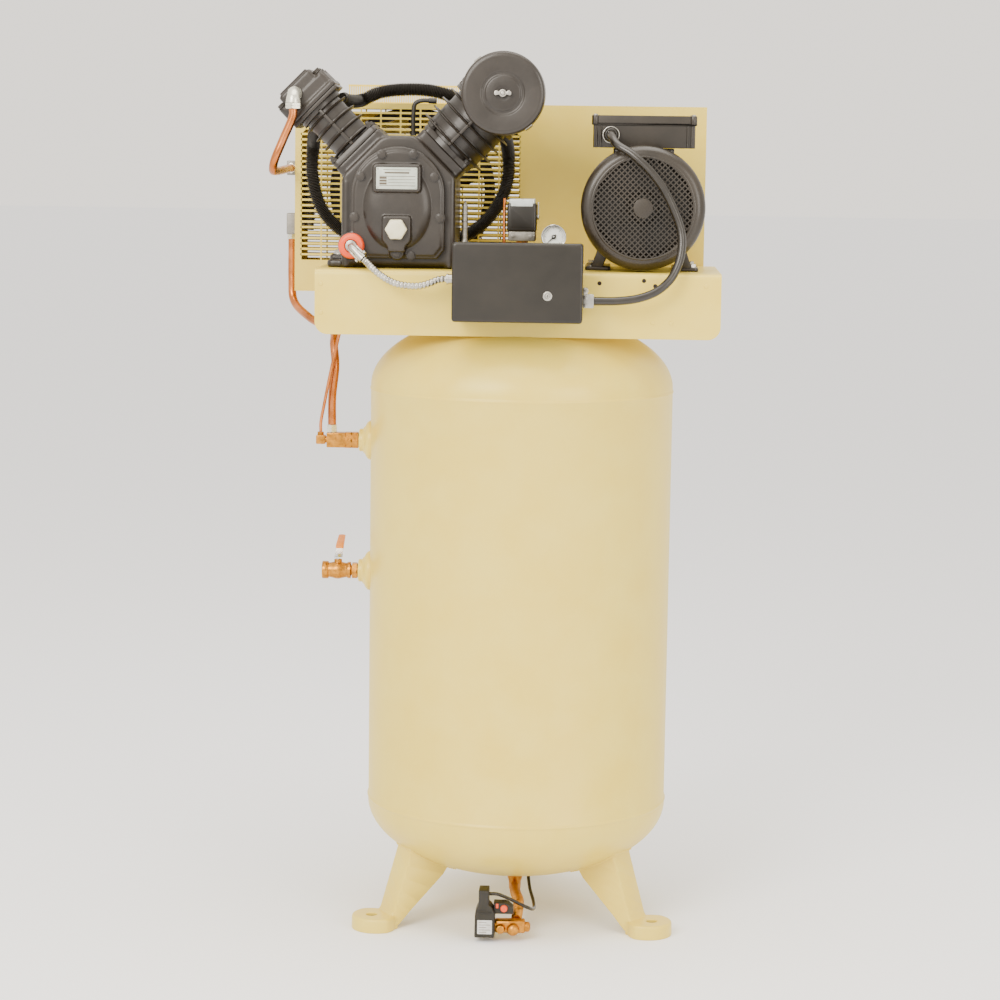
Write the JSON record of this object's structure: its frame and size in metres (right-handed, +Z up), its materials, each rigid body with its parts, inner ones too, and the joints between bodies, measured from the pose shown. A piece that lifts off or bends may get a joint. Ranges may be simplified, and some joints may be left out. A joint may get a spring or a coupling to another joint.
{
  "type": "vertical tank compressor",
  "caption": "Belt-driven V-twin air compressor and motor on a platform over an upright receiver tank on three legs.",
  "frame": {"origin": "middle of the whole object's footprint, on the floor under the feet", "axes": "+Z up along the tank, front of the machine facing -Y, motor towards +X"},
  "size_m": [0.895, 0.6794, 1.745],
  "materials": {
    "cream_enamel": "satin",
    "black_paint": "satin",
    "cast_iron": "matte",
    "steel": "satin",
    "piston_alloy": "machined",
    "copper": "bright",
    "brass": "bright",
    "white_paint": "satin",
    "black_plastic": "matte",
    "signal_orange": "gloss",
    "rubber": "matte"
  },
  "bodies": {
    "stand": {"tank_shell": "cream_enamel", "leg_left": "cream_enamel", "leg_right": "cream_enamel", "leg_rear": "cream_enamel", "platform": "cream_enamel", "guard_front_panel": "cream_enamel", "guard_rim": "cream_enamel", "guard_rear_panel": "cream_enamel", "oil_filler_plug": "cream_enamel", "crankcase": "black_paint", "crankcase_cover": "black_paint", "high_pressure_cylinder": "black_paint", "low_pressure_cylinder": "black_paint", "high_pressure_head": "black_paint", "low_pressure_head": "black_paint", "motor_frame": "black_paint", "motor_fan_cover": "black_paint", "terminal_box": "black_paint", "terminal_box_lid": "black_paint", "intercooler_over": "black_paint", "intercooler_under": "black_paint", "breather_tube": "black_paint", "filter_base": "black_paint", "filter_cover": "black_paint", "high_pressure_valve_plate": "steel", "low_pressure_valve_plate": "steel", "aftercooler": "steel", "pressure_gauge": "steel", "safety_valve": "steel", "conduit": "steel", "discharge_tube": "copper", "tank_tube": "copper", "pressure_line": "copper", "check_valve": "brass", "service_valve_body": "brass", "manifold": "brass", "drain_valve": "brass", "discharge_elbow": "white_paint", "control_box": "black_plastic", "pressure_switch": "black_plastic", "drain_timer": "black_plastic", "oil_level_switch": "signal_orange", "belt_front": "rubber", "belt_rear": "rubber", "motor_lead": "rubber", "drain_lead": "rubber"},
    "crank": {"crankshaft": "steel", "flywheel": "cast_iron"},
    "rotor": {"motor_rotor": "steel", "motor_fan": "black_plastic", "motor_pulley": "cast_iron"},
    "high_piston": {"high_pressure_piston": "piston_alloy"},
    "low_piston": {"low_pressure_piston": "piston_alloy"},
    "box_lid": {"control_box_lid": "black_plastic"},
    "lock": {"lid_lock": "steel"},
    "valve_lever": {"service_valve_lever": "brass"},
    "unloader_lever": {"switch_lever": "steel"},
    "wing_nut": {"filter_wing_nut": "steel"},
    "needle": {"gauge_needle": "black_plastic"},
    "timer_dial": {"drain_timer_knob": "signal_orange"}
  },
  "joints": [
    {"name": "crank_spin", "type": "hinge", "parent": "stand", "child": "crank", "pos_m": [-0.1855, 0.21365, 1.468], "axis": [0, 1, 0], "continuous": true},
    {"name": "rotor_spin", "type": "hinge", "parent": "stand", "child": "rotor", "pos_m": [0.2935, 0.21365, 1.447], "axis": [0, 1, 0], "continuous": true},
    {"name": "high_piston_stroke", "type": "slide", "parent": "stand", "child": "high_piston", "axis": [-0.7071, 0, 0.7071], "range_m": [-0.05975, 0.01025]},
    {"name": "low_piston_stroke", "type": "slide", "parent": "stand", "child": "low_piston", "axis": [0.7071, 0, 0.7071], "range_m": [-0.05975, 0.01025]},
    {"name": "lid_swing", "type": "hinge", "parent": "stand", "child": "box_lid", "pos_m": [-0.0695, -0.31265, 1.305], "axis": [0, 0, -1], "range_deg": [0, 115]},
    {"name": "lock_turn", "type": "hinge", "parent": "box_lid", "child": "lock", "pos_m": [0.1135, -0.33665, 1.281], "axis": [0, 1, 0], "range_deg": [0, 90]},
    {"name": "valve_turn", "type": "hinge", "parent": "stand", "child": "valve_lever", "pos_m": [-0.3133, -0.03235, 0.698], "axis": [0, 0, 1], "range_deg": [0, 90]},
    {"name": "unloader_throw", "type": "hinge", "parent": "stand", "child": "unloader_lever", "pos_m": [0.0855, -0.14435, 1.425], "axis": [1, 0, 0], "range_deg": [-20, 20]},
    {"name": "wing_nut_turn", "type": "hinge", "parent": "stand", "child": "wing_nut", "pos_m": [0.0195, -0.23835, 1.664], "axis": [0, 1, 0], "continuous": true},
    {"name": "needle_swing", "type": "hinge", "parent": "stand", "child": "needle", "pos_m": [0.1205, -0.20235, 1.389], "axis": [0, 1, 0], "range_deg": [0, 270]},
    {"name": "timer_turn", "type": "hinge", "parent": "stand", "child": "timer_dial", "pos_m": [0.0452, -0.28635, 0.068], "axis": [0, 1, 0], "range_deg": [0, 300]}
  ],
  "couplings": [
    {"joint": "rotor_spin", "follows": "crank_spin", "ratio": 2.3087}
  ]
}
